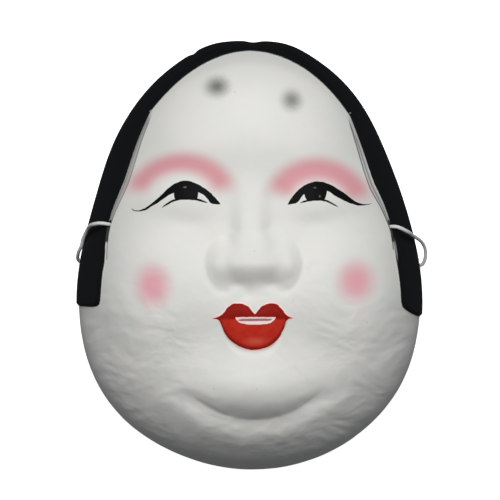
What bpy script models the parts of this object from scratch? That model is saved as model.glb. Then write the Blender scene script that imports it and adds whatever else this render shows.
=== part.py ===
"""Okame mask of layered paper, lying face up on its rim, with its elastic head cord.

Metres. +X is the viewer's right, +Y the crown and +Z the way the face looks. The rim stands on z = 0
and the outline is centred on the origin.
"""

import math

import bmesh
import bpy
import numpy as np
from mathutils import Vector

# Outline of the bare shell, seen from the front.
CROWN_Y = 0.1184
CHIN_Y = -0.1200
WIDEST_Y = -0.0240
HALF_WIDTH = 0.0956
FULLNESS = 0.111

# How a shell laid by hand departs from that outline. Heights here are shares of its half length.
TEMPLE_PINCH = 0.0305
TEMPLE_HEIGHT = 0.475
TEMPLE_SPREAD = 0.335
TEMPLE_SWAY = -0.0010
TEMPLE_SWAY_HEIGHT = 0.64
TEMPLE_SWAY_SPREAD = 0.17
CHIN_SWAY = 0.0016
CHIN_SWAY_HEIGHT = -0.62

# Section of the bare shell.
DOME_HEIGHT = 0.070
JAW_SHOULDER = 2.5
CROWN_SHOULDER = 3.7
WALL = 0.0024
RIM_CROWDING = 0.45

# The rim lies flat at crown and chin and rises in a low arch at each temple, where the cord passes.
ARCH_RISE = 0.0062
ARCH_Y = 0.000
ARCH_HALF_LENGTH = 0.056
ARCH_FADE_HEIGHT = 0.040

# The nose and mouth sit a little to the viewer's right of the outline's middle.
NOSE_X = 0.0022
EYE_X = 0.0016
MOUTH_X = 0.0028

# Relief of the hair.
HAIR_THICKNESS = 0.0015
HAIR_END_Y = -0.0284
HAIR_END_DROP = 0.0060
LOBE_RISE = 0.0013
PARTING_DEPTH = 0.0009

# The two cord holes, by their place seen from the front.
HOLE_LEFT = (-0.0762, 0.0166)
HOLE_RIGHT = (0.0770, 0.0154)
HOLE_DIAMETER = 0.0034

# The round elastic and its knots.
CORD_DIAMETER = 0.0020
KNOT_DIAMETER = 0.0056
KNOT_LENGTH = 0.0052
TAIL_LENGTH = 0.0065
KNOT_SIDES = 12
GAP = 0.0003
HANGING_STEP = 2.0 * CORD_DIAMETER
LYING_STEP = 3.0 * CORD_DIAMETER

# The cord's route in metres: out of the left hole, down the side of the head and under the rim, in one
# loose double curve over the table inside the hollow, and up the other side to the right hole.
CORD_ROUTE = [
    (-0.0747, 0.0162, 0.0384), (-0.0762, 0.0166, 0.0395), (-0.0791, 0.0171, 0.0409),
    (-0.0820, 0.0172, 0.0409), (-0.0846, 0.0168, 0.0391), (-0.0866, 0.0162, 0.0349),
    (-0.0883, 0.0149, 0.0291), (-0.0901, 0.0122, 0.0238), (-0.0919, 0.0089, 0.0201),
    (-0.0930, 0.0050, 0.0168), (-0.0946, 0.0022, 0.0130), (-0.0956, -0.0004, 0.0088),
    (-0.0957, -0.0026, 0.0048), (-0.0937, -0.0045, 0.0020), (-0.0897, -0.0066, 0.0011),
    (-0.0848, -0.0104, 0.00105), (-0.0745, -0.0222, 0.00105), (-0.0570, -0.0390, 0.00105),
    (-0.0340, -0.0440, 0.00105), (-0.0110, -0.0290, 0.00105), (0.0060, 0.0090, 0.00105),
    (0.0270, 0.0360, 0.00105), (0.0550, 0.0350, 0.00105), (0.0750, 0.0160, 0.00105),
    (0.0852, 0.0030, 0.00105), (0.0893, -0.0030, 0.00108), (0.0931, -0.0058, 0.0017),
    (0.0966, -0.0052, 0.0040), (0.0980, -0.0018, 0.0068), (0.0980, 0.0020, 0.0094),
    (0.0969, 0.0051, 0.0124), (0.0952, 0.0073, 0.0161), (0.0932, 0.0087, 0.0204),
    (0.0890, 0.0110, 0.0300), (0.0875, 0.0119, 0.0352), (0.0854, 0.0130, 0.0387),
    (0.0828, 0.0143, 0.0405), (0.0799, 0.0153, 0.0407), (0.0770, 0.0154, 0.0391),
    (0.0754, 0.0149, 0.0380),
]

# Grid fineness across and along the outer and inner faces.
OUTER_GRID = (50, 58)
INNER_GRID = (25, 29)


def smooth_step(low, high, value):
    """Ease from 0 at low to 1 at high."""
    t = np.clip((value - low) / (high - low), 0.0, 1.0)
    return t * t * (3.0 - 2.0 * t)


def hill(x, y, half_x, half_y):
    """A round hill of height 1 at the origin."""
    return np.exp(-((x / half_x) ** 2) - (y / half_y) ** 2)


def knob(x, y, half_x, half_y):
    """A hill of height 1 with a flatter top and a steeper flank."""
    return np.exp(-(((x / half_x) ** 2 + (y / half_y) ** 2) ** 1.7))


def pillow(x, y, half_x, half_y):
    """A rounded cushion of height 1 that ends on its outline."""
    return np.sqrt(np.clip(1.0 - (x / half_x) ** 2 - (y / half_y) ** 2, 0.0, 1.0))


def merge(*heights):
    """Join hills so that the higher one keeps its own shape."""
    return sum(np.maximum(h, 0.0) ** 3 for h in heights) ** (1.0 / 3.0)


def disc_point(u, v):
    """Bend a square of half size 1 into a disc, with its rows crowded towards the edge."""
    dx = u * np.sqrt(1.0 - v * v / 2.0)
    dy = v * np.sqrt(1.0 - u * u / 2.0)
    t = np.maximum(np.hypot(dx, dy), 1e-9)
    stretch = (1.0 - RIM_CROWDING) + RIM_CROWDING * np.sin(t * math.pi / 2.0) / t
    return dx * stretch, dy * stretch


def half_width(dy):
    """Half the outline's width: full towards the crown, but a little pinched at the temples."""
    pinch = TEMPLE_PINCH * hill(dy - TEMPLE_HEIGHT, 0.0, TEMPLE_SPREAD, 1.0)
    return HALF_WIDTH * (1.0 + FULLNESS * dy ** 3 - pinch)


def middle_line(dy):
    """How far the outline's middle strays from a straight line."""
    temple = TEMPLE_SWAY * hill(dy - TEMPLE_SWAY_HEIGHT, 0.0, TEMPLE_SWAY_SPREAD, 1.0)
    return temple + CHIN_SWAY * smooth_step(CHIN_SWAY_HEIGHT, -1.0, dy)


def bare_shell(dx, dy):
    """The egg-shaped dome without features, from a place on the unit disc."""
    lean = (CROWN_Y + CHIN_Y) / 2.0 - WIDEST_Y
    y = WIDEST_Y + dy * (CROWN_Y - CHIN_Y) / 2.0 + dy * dy * lean
    x = middle_line(dy) + dx * half_width(dy)
    shoulder = JAW_SHOULDER + (CROWN_SHOULDER - JAW_SHOULDER) * smooth_step(0.0, 0.9, dy)
    reach = np.clip(dx * dx + dy * dy, 0.0, 1.0) ** (shoulder / 2.0)
    return x, y, DOME_HEIGHT * np.sqrt(1.0 - reach)


def disc_place(x, y):
    """Where on the unit disc a point seen from the front lies."""
    lean = (CROWN_Y + CHIN_Y) / 2.0 - WIDEST_Y
    reach = (CROWN_Y - CHIN_Y) / 2.0
    dy = (math.sqrt(reach * reach + 4.0 * lean * (y - WIDEST_Y)) - reach) / (2.0 * lean)
    return (x - middle_line(dy)) / half_width(dy), dy


def forehead(x, y):
    """A full round forehead, a faint brow bone on each side and a slight hollow at each temple."""
    side = np.abs(x - EYE_X)
    crown = 0.0116 * hill(x, y - 0.080, 0.0480, 0.0360)
    brow = 0.0022 * hill(side - 0.0330, y - 0.0590, 0.0260, 0.0120)
    temple = 0.0024 * hill(side - 0.0640, y - 0.0610, 0.0170, 0.0300)
    return crown + brow - temple


def eyes(x, y):
    """Convex lids, each with a shallow fold below and a hollow beside the nose."""
    side = np.abs(x - EYE_X)
    lid = 0.0036 * hill(side - 0.0410, y - 0.0290, 0.0230, 0.0120)
    fold = 0.0006 * hill(side - 0.0330, y - 0.0170 - 5.6 * (side - 0.0330) ** 2, 0.0180, 0.0045)
    corner = 0.0014 * hill(side - 0.0160, y - 0.0290, 0.0110, 0.0110)
    return lid - fold - corner


def nose(x, y):
    """A short bridge that flares into a round tip and two broad wings, undercut along their lower edge."""
    across = x - NOSE_X
    flare = 0.0086 + 0.0055 * smooth_step(0.014, 0.001, y)
    bridge = 0.0062 * smooth_step(0.047, 0.003, y) * knob(across + 0.0016, 0.0, flare, 1.0)
    tip = 0.0098 * knob(across, y + 0.0032, 0.0160, 0.0152)
    wing = 0.0068 * knob(np.abs(across) - 0.0150, y + 0.0048, 0.0088, 0.0122)
    return merge(bridge, tip, wing) * smooth_step(-0.0225, -0.0035, y)


def cheeks(x, y):
    """A full cheek on each side, with a fold under it, and a soft jowl below."""
    side = np.abs(x - NOSE_X)
    away = np.hypot((side - 0.0555) / 1.08, y + 0.0170)
    cheek = 0.0076 * (1.0 - smooth_step(0.011, 0.043, away))
    jowl = 0.0032 * hill(side - 0.0580, y + 0.0560, 0.0200, 0.0170)
    return cheek + jowl


def mouth(x, y):
    """The muzzle and the raised lips: two lobes above, one full bow below."""
    across = x - MOUTH_X
    muzzle = 0.0048 * hill(across, y + 0.0280, 0.0280, 0.0190)
    groove = 0.0009 * hill(across + 0.004, y + 0.0200, 0.0030, 0.0045)
    lobes = pillow(np.abs(across) - 0.0082, y + 0.0340, 0.0108, 0.0084)
    bow = pillow(across, y + 0.0335, 0.0182, 0.0158)
    lips = 0.0022 * np.where(y > -0.0338, lobes, bow)
    return muzzle - groove + lips


def chin(x, y):
    """A round chin on a broad pad, the crease that curves below it and the soft second chin."""
    across = x - MOUTH_X
    ball = 0.0074 * hill(across, y + 0.0712, 0.0310, 0.0160)
    away = np.hypot(across, y + 0.0405) - 0.0484
    sweep = smooth_step(-0.070, -0.080, y)
    crease = 0.0018 * np.exp(-((away / 0.0050) ** 2)) * sweep
    second = 0.0012 * np.exp(-(((away - 0.0110) / 0.0065) ** 2)) * sweep
    pad = 0.0030 * hill(across, y + 0.0800, 0.0420, 0.0260)
    return ball + pad - crease + second


def face_relief(x, y):
    """Height of all the modelled features above the bare shell."""
    return forehead(x, y) + eyes(x, y) + nose(x, y) + cheeks(x, y) + mouth(x, y) + chin(x, y)


def hairline(dx, dy):
    """How far out on the unit disc the hair begins: a round brow line that meets the sides at a corner."""
    angle = np.degrees(np.arctan2(dy, np.abs(dx)))
    right = np.clip(dx / 0.3, -1.0, 1.0)
    brow = 0.922 + 0.0018 * right + 0.040 * smooth_step(50.0, 95.0, angle)
    climb = np.maximum(angle - 33.5, 0.0) / 19.0
    side = 0.868 + (0.051 + 0.005 * right) * climb ** (1.4 - 0.2 * right)
    waist = 0.012 * hill(angle - 24.0, 0.0, 7.0, 1.0)
    below = (0.017 - 0.007 * right) * smooth_step(20.0, 10.0, angle)
    return np.minimum(brow, side + waist - below)


def hair_relief(x, y, dx, dy):
    """Thickness of the hair: two lobes that meet in a parting, and a blunt end beside each cheek."""
    top = smooth_step(0.050, 0.100, y)
    lobes = LOBE_RISE * hill(np.abs(x) - 0.0210, 0.0, 0.0130, 1.0) * top
    parting = PARTING_DEPTH * hill(x - NOSE_X, 0.0, 0.0040, 1.0) * top
    cover = smooth_step(0.0, 0.018, np.hypot(dx, dy) - hairline(dx, dy))
    end = HAIR_END_Y - HAIR_END_DROP * smooth_step(0.078, 0.096, x)
    return (HAIR_THICKNESS + lobes - parting) * cover * smooth_step(end - 0.0030, end + 0.0010, y)


def rim_arch(y, z):
    """How far the rim and the wall above it rise at the temples."""
    t = np.clip((y - ARCH_Y) / ARCH_HALF_LENGTH, -1.0, 1.0)
    return ARCH_RISE * np.cos(t * math.pi / 2.0) ** 2 * (1.0 - smooth_step(0.0, ARCH_FADE_HEIGHT, z))


def featured_shell(dx, dy):
    """The dome with its features, which die away towards the rim, but without the hair."""
    x, y, z = bare_shell(dx, dy)
    return x, y, z + face_relief(x, y) * (1.0 - smooth_step(0.90, 1.0, np.hypot(dx, dy)))


def outer_point(dx, dy):
    """One point of the outer face, without the hair's thickness."""
    x, y, z = featured_shell(dx, dy)
    return Vector((float(x), float(y), float(z + rim_arch(y, z))))


def hole_frame(place):
    """The middle of a cord hole on the outer face, and the direction straight out of it."""
    dx, dy = disc_place(*place)
    step = 0.01
    across = outer_point(dx + step, dy) - outer_point(dx - step, dy)
    along = outer_point(dx, dy + step) - outer_point(dx, dy - step)
    return outer_point(dx, dy), across.cross(along).normalized()


def set_places(bm, x, y, z):
    """Move every vertex to its new place."""
    for vertex, place in zip(bm.verts, zip(x.tolist(), y.tolist(), z.tolist())):
        vertex.co = place
    bm.normal_update()


def formed_sheet(grid, offset, with_hair):
    """One face of the shell, moved by offset along its own normals."""
    bm = bmesh.new()
    bmesh.ops.create_grid(bm, x_segments=grid[0], y_segments=grid[1], size=1.0)
    flat = np.array([vertex.co[:] for vertex in bm.verts])
    dx, dy = disc_point(flat[:, 0], flat[:, 1])
    x, y, z = featured_shell(dx, dy)
    set_places(bm, x, y, z)
    push = np.full_like(x, offset)
    if with_hair:
        push = push + hair_relief(x, y, dx, dy)
    normals = np.array([vertex.normal[:] for vertex in bm.verts])
    on_rim = np.array([vertex.is_boundary for vertex in bm.verts])
    normals[on_rim, 2] = 0.0
    normals /= np.linalg.norm(normals, axis=1)[:, None]
    x = x + normals[:, 0] * push
    y = y + normals[:, 1] * push
    z = np.where(on_rim, 0.0, z + normals[:, 2] * push)
    set_places(bm, x, y, z + rim_arch(y, z))
    return bm


def new_material(name, colour, roughness):
    """A plain finish."""
    material = bpy.data.materials.new(name)
    material.use_nodes = True
    shader = material.node_tree.nodes["Principled BSDF"]
    shader.inputs["Base Color"].default_value = (*colour, 1.0)
    shader.inputs["Roughness"].default_value = roughness
    shader.inputs["Metallic"].default_value = 0.0
    return material


def add_object(name, bm, material):
    """Put a finished bmesh in the scene."""
    mesh = bpy.data.meshes.new(name)
    bm.to_mesh(mesh)
    bm.free()
    mesh.shade_smooth()
    mesh.materials.append(material)
    obj = bpy.data.objects.new(name, mesh)
    bpy.context.scene.collection.objects.link(obj)
    return obj


def build_mask(material):
    """The hollow shell: an outer and an inner face joined along the rim."""
    bm = formed_sheet(OUTER_GRID, 0.0, True)
    inner = formed_sheet(INNER_GRID, -WALL, False)
    bmesh.ops.reverse_faces(inner, faces=inner.faces)
    inner_mesh = bpy.data.meshes.new("inner face")
    inner.to_mesh(inner_mesh)
    inner.free()
    bm.from_mesh(inner_mesh)
    bpy.data.meshes.remove(inner_mesh)
    rims = [edge for edge in bm.edges if edge.is_boundary]
    bmesh.ops.bridge_loops(bm, edges=rims)
    bmesh.ops.recalc_face_normals(bm, faces=bm.faces)
    mask = add_object("mask", bm, material)
    for side, place in (("left", HOLE_LEFT), ("right", HOLE_RIGHT)):
        drill_hole(mask, side, place)
    return mask


def drill_hole(mask, side, place):
    """Cut a round hole straight through the wall."""
    middle, outward = hole_frame(place)
    bm = bmesh.new()
    radius = HOLE_DIAMETER / 2.0
    bmesh.ops.create_cone(bm, cap_ends=True, segments=12, radius1=radius, radius2=radius, depth=5 * WALL)
    cutter = add_object("hole cutter " + side, bm, mask.data.materials[0])
    cutter.location = middle
    cutter.rotation_euler = outward.to_track_quat("Z", "Y").to_euler()
    cutter.hide_render = True
    cutter.display_type = "WIRE"
    cut = mask.modifiers.new("cord hole " + side, "BOOLEAN")
    cut.operation = "DIFFERENCE"
    cut.object = cutter


def between(p0, p1, p2, p3, t):
    """A point of the smooth curve from p1 to p2, t from 0 to 1."""
    bend = 2.0 * p1 + (p2 - p0) * t
    bend += (2.0 * p0 - 5.0 * p1 + 4.0 * p2 - p3) * t * t
    return (bend + (3.0 * p1 - p0 - 3.0 * p2 + p3) * t ** 3) / 2.0


def cord_points():
    """The route as a smooth line, with its points closer where the cord hangs than where it lies."""
    route = [Vector(place) for place in CORD_ROUTE]
    route = [2.0 * route[0] - route[1]] + route + [2.0 * route[-1] - route[-2]]
    points = []
    for p0, p1, p2, p3 in zip(route, route[1:], route[2:], route[3:]):
        lying = max(p1.z, p2.z) < CORD_DIAMETER
        steps = max(1, round((p2 - p1).length / (LYING_STEP if lying else HANGING_STEP)))
        points += [between(p0, p1, p2, p3, i / steps) for i in range(steps)]
    return points + [route[-2]]


def build_cord(material):
    """The elastic between its two knots."""
    curve = bpy.data.curves.new("elastic_cord", "CURVE")
    curve.dimensions = "3D"
    curve.bevel_depth = CORD_DIAMETER / 2.0
    curve.bevel_resolution = 2
    curve.use_fill_caps = True
    points = cord_points()
    spline = curve.splines.new("POLY")
    spline.points.add(len(points) - 1)
    for spot, point in zip(spline.points, points):
        spot.co = (*point, 1.0)
    curve.materials.append(material)
    cord = bpy.data.objects.new("elastic_cord", curve)
    bpy.context.scene.collection.objects.link(cord)
    return cord


def build_knot(side, place, material):
    """A knot drawn up behind the wall, with the cut end of the cord standing out of it."""
    middle, outward = hole_frame(place)
    cord = CORD_DIAMETER / 2.0
    knot = KNOT_DIAMETER / 2.0
    profile = [
        (0.0, 0.0), (0.60 * knot, 0.0), (0.92 * knot, 0.22 * KNOT_LENGTH), (knot, 0.50 * KNOT_LENGTH),
        (0.88 * knot, 0.78 * KNOT_LENGTH), (cord, KNOT_LENGTH), (cord, KNOT_LENGTH + TAIL_LENGTH),
        (0.0, KNOT_LENGTH + TAIL_LENGTH),
    ]
    bm = bmesh.new()
    spots = [bm.verts.new((radius, 0.0, height)) for radius, height in profile]
    edges = [bm.edges.new(pair) for pair in zip(spots, spots[1:])]
    bmesh.ops.spin(bm, geom=spots + edges, cent=(0, 0, 0), axis=(0, 0, 1), angle=2.0 * math.pi,
                   steps=KNOT_SIDES, use_merge=True)
    bmesh.ops.remove_doubles(bm, verts=bm.verts, dist=0.00001)
    bmesh.ops.recalc_face_normals(bm, faces=bm.faces)
    knotted = add_object("cord_knot_" + side, bm, material)
    knotted.location = middle - outward * (WALL + 2.0 * GAP)
    knotted.rotation_euler = (-outward).to_track_quat("Z", "Y").to_euler()
    return knotted


def main():
    for obj in list(bpy.data.objects):
        bpy.data.objects.remove(obj)
    paper = new_material("white paper", (0.76, 0.77, 0.73), 0.55)
    elastic = new_material("white elastic", (0.80, 0.80, 0.78), 0.70)
    knot = new_material("white elastic knot", (0.78, 0.78, 0.76), 0.70)
    build_mask(paper)
    build_cord(elastic)
    build_knot("left", HOLE_LEFT, knot)
    build_knot("right", HOLE_RIGHT, knot)


main()
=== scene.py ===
"""Okame mask of layered paper with a painted face, lying face up, and its elastic head cord.

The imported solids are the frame. This script makes the fine surface, the paint and the light.
Shapes are in metres. What a painter would measure is in millimetres, seen from straight in front.
"""

import math

import bmesh
import bpy
import numpy as np
from mathutils import Matrix, Vector, noise
from mathutils.kdtree import KDTree


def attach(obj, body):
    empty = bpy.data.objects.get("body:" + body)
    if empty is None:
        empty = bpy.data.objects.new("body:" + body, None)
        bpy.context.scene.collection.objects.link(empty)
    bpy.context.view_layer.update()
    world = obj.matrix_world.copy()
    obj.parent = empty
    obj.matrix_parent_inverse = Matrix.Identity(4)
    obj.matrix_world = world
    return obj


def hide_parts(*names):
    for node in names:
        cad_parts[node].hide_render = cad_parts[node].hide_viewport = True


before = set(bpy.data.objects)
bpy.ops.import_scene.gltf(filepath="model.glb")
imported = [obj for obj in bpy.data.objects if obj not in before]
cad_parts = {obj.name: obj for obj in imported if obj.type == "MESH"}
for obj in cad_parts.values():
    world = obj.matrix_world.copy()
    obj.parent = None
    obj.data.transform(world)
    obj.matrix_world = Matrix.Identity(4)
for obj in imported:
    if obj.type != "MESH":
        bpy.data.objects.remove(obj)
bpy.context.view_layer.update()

MM = 0.001

# Outline and section of the bare shell, as in the solids.
CROWN_Y = 0.1184
CHIN_Y = -0.1200
WIDEST_Y = -0.0240
HALF_WIDTH = 0.0956
FULLNESS = 0.111
TEMPLE_PINCH = 0.0305
TEMPLE_HEIGHT = 0.475
TEMPLE_SPREAD = 0.335
TEMPLE_SWAY = -0.0010
TEMPLE_SWAY_HEIGHT = 0.64
TEMPLE_SWAY_SPREAD = 0.17
CHIN_SWAY = 0.0016
CHIN_SWAY_HEIGHT = -0.62
DOME_HEIGHT = 0.070
JAW_SHOULDER = 2.5
CROWN_SHOULDER = 3.7
WALL = 0.0024
RIM_CROWDING = 0.45
ARCH_RISE = 0.0062
ARCH_Y = 0.000
ARCH_HALF_LENGTH = 0.056
ARCH_FADE_HEIGHT = 0.040

# Middles of the features, and the hair's relief, as in the solids.
NOSE_X = 0.0022
EYE_X = 0.0016
MOUTH_X = 0.0028
WING_OFFSET = 0.0150
WING_Y = -0.0048
CREASE_MIDDLE_Y = -0.0405
CREASE_RADIUS = 0.0484
HAIR_THICKNESS = 0.0015
HAIR_END_Y = -0.0284
HAIR_END_DROP = 0.0060
LOBE_RISE = 0.0013
PARTING_DEPTH = 0.0009

# Cord, holes and knots, as in the solids.
HOLE_LEFT = (-0.0762, 0.0166)
HOLE_RIGHT = (0.0770, 0.0154)
HOLE_DIAMETER = 0.0034
CORD_DIAMETER = 0.0020
CORD_ROUTE = [
    (-0.0747, 0.0162, 0.0384), (-0.0762, 0.0166, 0.0395), (-0.0791, 0.0171, 0.0409),
    (-0.0820, 0.0172, 0.0409), (-0.0846, 0.0168, 0.0391), (-0.0866, 0.0162, 0.0349),
    (-0.0883, 0.0149, 0.0291), (-0.0901, 0.0122, 0.0238), (-0.0919, 0.0089, 0.0201),
    (-0.0930, 0.0050, 0.0168), (-0.0946, 0.0022, 0.0130), (-0.0956, -0.0004, 0.0088),
    (-0.0957, -0.0026, 0.0048), (-0.0937, -0.0045, 0.0020), (-0.0897, -0.0066, 0.0011),
    (-0.0848, -0.0104, 0.00105), (-0.0745, -0.0222, 0.00105), (-0.0570, -0.0390, 0.00105),
    (-0.0340, -0.0440, 0.00105), (-0.0110, -0.0290, 0.00105), (0.0060, 0.0090, 0.00105),
    (0.0270, 0.0360, 0.00105), (0.0550, 0.0350, 0.00105), (0.0750, 0.0160, 0.00105),
    (0.0852, 0.0030, 0.00105), (0.0893, -0.0030, 0.00108), (0.0931, -0.0058, 0.0017),
    (0.0966, -0.0052, 0.0040), (0.0980, -0.0018, 0.0068), (0.0980, 0.0020, 0.0094),
    (0.0969, 0.0051, 0.0124), (0.0952, 0.0073, 0.0161), (0.0932, 0.0087, 0.0204),
    (0.0890, 0.0110, 0.0300), (0.0875, 0.0119, 0.0352), (0.0854, 0.0130, 0.0387),
    (0.0828, 0.0143, 0.0405), (0.0799, 0.0153, 0.0407), (0.0770, 0.0154, 0.0391),
    (0.0754, 0.0149, 0.0380),
]

# Fineness of the modelled surface.
OUTER_GRID = (200, 232)
INNER_GRID = (104, 120)
RIM_ROUNDING = 0.0004

# The lips' painted outline in millimetres: the upper edge with its two lobes, and the lower bow.
LIP_TOP = [
    (-19.8, -33.5), (-16.7, -32.6), (-14.4, -31.3), (-10.8, -27.2), (-6.4, -25.5), (-1.8, -26.5),
    (0.8, -28.8), (2.4, -30.8), (2.9, -31.1), (3.4, -30.7), (5.2, -28.4), (7.7, -26.5),
    (11.9, -25.5), (16.1, -27.5), (20.1, -32.0), (23.0, -33.4),
]
LIP_LOW = [
    (-19.8, -33.6), (-16.9, -34.1), (-15.1, -36.5), (-13.3, -41.0), (-8.2, -46.6), (-1.3, -49.8),
    (2.9, -50.2), (7.2, -49.5), (14.0, -45.6), (18.3, -38.6), (20.4, -34.1), (23.0, -33.5),
]
MOUTH_LINE_Y = -33.4


def smooth_step(low, high, value):
    """Ease from 0 at low to 1 at high."""
    t = np.clip((value - low) / (high - low), 0.0, 1.0)
    return t * t * (3.0 - 2.0 * t)


def hill(x, y, half_x, half_y):
    """A round hill of height 1 at the origin."""
    return np.exp(-((x / half_x) ** 2) - (y / half_y) ** 2)


def knob(x, y, half_x, half_y):
    """A hill of height 1 with a flatter top and a steeper flank."""
    return np.exp(-(((x / half_x) ** 2 + (y / half_y) ** 2) ** 1.7))


def merge(*heights):
    """Join hills so that the higher one keeps its own shape."""
    return sum(np.maximum(h, 0.0) ** 3 for h in heights) ** (1.0 / 3.0)


def through(points, along):
    """Height, at each place along it, of a smooth line through a few points."""
    xs, ys = np.array(points).T
    slopes = np.gradient(ys, xs)
    i = np.clip(np.searchsorted(xs, along) - 1, 0, len(xs) - 2)
    step = xs[i + 1] - xs[i]
    t = np.clip((along - xs[i]) / step, 0.0, 1.0)
    rise = (3.0 - 2.0 * t) * t * t
    bend = slopes[i] * t * (1.0 - t) ** 2 - slopes[i + 1] * t * t * (1.0 - t)
    return ys[i] + (ys[i + 1] - ys[i]) * rise + bend * step


def disc_point(u, v):
    """Bend a square of half size 1 into a disc, with its rows crowded towards the edge."""
    dx = u * np.sqrt(1.0 - v * v / 2.0)
    dy = v * np.sqrt(1.0 - u * u / 2.0)
    t = np.maximum(np.hypot(dx, dy), 1e-9)
    stretch = (1.0 - RIM_CROWDING) + RIM_CROWDING * np.sin(t * math.pi / 2.0) / t
    return dx * stretch, dy * stretch


def half_width(dy):
    """Half the outline's width: full towards the crown, but a little pinched at the temples."""
    pinch = TEMPLE_PINCH * hill(dy - TEMPLE_HEIGHT, 0.0, TEMPLE_SPREAD, 1.0)
    return HALF_WIDTH * (1.0 + FULLNESS * dy ** 3 - pinch)


def middle_line(dy):
    """How far the outline's middle strays from a straight line."""
    temple = TEMPLE_SWAY * hill(dy - TEMPLE_SWAY_HEIGHT, 0.0, TEMPLE_SWAY_SPREAD, 1.0)
    return temple + CHIN_SWAY * smooth_step(CHIN_SWAY_HEIGHT, -1.0, dy)


def bare_shell(dx, dy):
    """The egg-shaped dome without features, from a place on the unit disc."""
    lean = (CROWN_Y + CHIN_Y) / 2.0 - WIDEST_Y
    y = WIDEST_Y + dy * (CROWN_Y - CHIN_Y) / 2.0 + dy * dy * lean
    x = middle_line(dy) + dx * half_width(dy)
    shoulder = JAW_SHOULDER + (CROWN_SHOULDER - JAW_SHOULDER) * smooth_step(0.0, 0.9, dy)
    reach = np.clip(dx * dx + dy * dy, 0.0, 1.0) ** (shoulder / 2.0)
    return x, y, DOME_HEIGHT * np.sqrt(1.0 - reach)


def disc_place(x, y):
    """Where on the unit disc a point seen from the front lies."""
    lean = (CROWN_Y + CHIN_Y) / 2.0 - WIDEST_Y
    reach = (CROWN_Y - CHIN_Y) / 2.0
    dy = (math.sqrt(reach * reach + 4.0 * lean * (y - WIDEST_Y)) - reach) / (2.0 * lean)
    return (x - middle_line(dy)) / half_width(dy), dy


def forehead(x, y):
    """A full round forehead, a faint brow bone on each side and a slight hollow at each temple."""
    side = np.abs(x - EYE_X)
    crown = 0.0116 * hill(x, y - 0.080, 0.0480, 0.0360)
    brow = 0.0022 * hill(side - 0.0330, y - 0.0590, 0.0260, 0.0120)
    temple = 0.0024 * hill(side - 0.0640, y - 0.0610, 0.0170, 0.0300)
    return crown + brow - temple


def eyes(x, y):
    """Convex lids, each with a shallow fold below and a hollow beside the nose."""
    side = np.abs(x - EYE_X)
    lid = 0.0036 * hill(side - 0.0410, y - 0.0290, 0.0230, 0.0120)
    fold = 0.0006 * hill(side - 0.0330, y - 0.0170 - 5.6 * (side - 0.0330) ** 2, 0.0180, 0.0045)
    corner = 0.0014 * hill(side - 0.0160, y - 0.0290, 0.0110, 0.0110)
    return lid - fold - corner


def nose(x, y):
    """A short bridge that flares into a round tip and two broad wings, undercut along their lower edge."""
    across = x - NOSE_X
    flare = 0.0086 + 0.0055 * smooth_step(0.014, 0.001, y)
    bridge = 0.0062 * smooth_step(0.047, 0.003, y) * knob(across + 0.0016, 0.0, flare, 1.0)
    tip = 0.0098 * knob(across, y + 0.0032, 0.0160, 0.0152)
    wing = 0.0068 * knob(np.abs(across) - WING_OFFSET, y - WING_Y, 0.0088, 0.0122)
    return merge(bridge, tip, wing) * smooth_step(-0.0225, -0.0035, y)


def nostrils(x, y):
    """Fine shape of the nose: a hollow beside the bridge, a crease round each wing and a dent under it."""
    across = np.abs(x - NOSE_X)
    away = np.hypot((across - WING_OFFSET) / 0.0102, (y - WING_Y) / 0.0134)
    crease = 0.0005 * np.exp(-(((away - 1.08) / 0.16) ** 2)) * smooth_step(0.009, 0.016, across)
    dent = 0.0009 * hill(across - 0.0085, y + 0.0156, 0.0042, 0.0030)
    flank = 0.0007 * hill(np.abs(x - NOSE_X + 0.0012) - 0.0128, y - 0.0095, 0.0042, 0.0090)
    return -crease - dent - flank


def cheeks(x, y):
    """A full cheek on each side, with a fold under it, and a soft jowl below."""
    side = np.abs(x - NOSE_X)
    away = np.hypot((side - 0.0555) / 1.08, y + 0.0170)
    cheek = 0.0076 * (1.0 - smooth_step(0.011, 0.043, away))
    jowl = 0.0032 * hill(side - 0.0580, y + 0.0560, 0.0200, 0.0170)
    return cheek + jowl


def mouth(x, y):
    """The muzzle with its groove, and the lips: raised to their painted outline and parted."""
    across = x - MOUTH_X
    muzzle = 0.0048 * hill(across, y + 0.0280, 0.0280, 0.0190)
    groove = 0.0009 * hill(across + 0.004, y + 0.0200, 0.0030, 0.0045)
    top = through(LIP_TOP, x / MM)
    low = through(LIP_LOW, x / MM)
    above = y / MM - MOUTH_LINE_Y
    reach = np.where(above > 0.0, top - MOUTH_LINE_Y, MOUTH_LINE_Y - low)
    edge = np.clip(np.abs(above) / np.maximum(reach, 0.05), 0.0, 1.0)
    taper = smooth_step(0.0, 9.0, top - low)
    lips = 0.0022 * np.sqrt(1.0 - edge ** 2.4) * taper
    parting = 0.0003 * np.exp(-((above + 0.4) / 1.2) ** 2) * smooth_step(16.0, 9.0, np.abs(across / MM))
    return muzzle - groove + lips - parting


def lip_shadow(x, y):
    """Fine shape of the mouth: a shallow groove that sets off the lower lip."""
    below = through(LIP_LOW, x / MM) - y / MM
    full = smooth_step(17.0, 9.0, np.abs(x - MOUTH_X) / MM)
    return -0.0010 * np.exp(-(((below - 1.8) / 2.2) ** 2)) * full


def chin(x, y):
    """A round chin on a broad pad, the crease that curves below it and the soft second chin."""
    across = x - MOUTH_X
    ball = 0.0074 * hill(across, y + 0.0712, 0.0310, 0.0160)
    away = np.hypot(across, y - CREASE_MIDDLE_Y) - CREASE_RADIUS
    sweep = smooth_step(-0.070, -0.080, y)
    crease = 0.0018 * np.exp(-((away / 0.0050) ** 2)) * sweep
    second = 0.0012 * np.exp(-(((away - 0.0110) / 0.0065) ** 2)) * sweep
    pad = 0.0030 * hill(across, y + 0.0800, 0.0420, 0.0260)
    return ball + pad - crease + second


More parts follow.
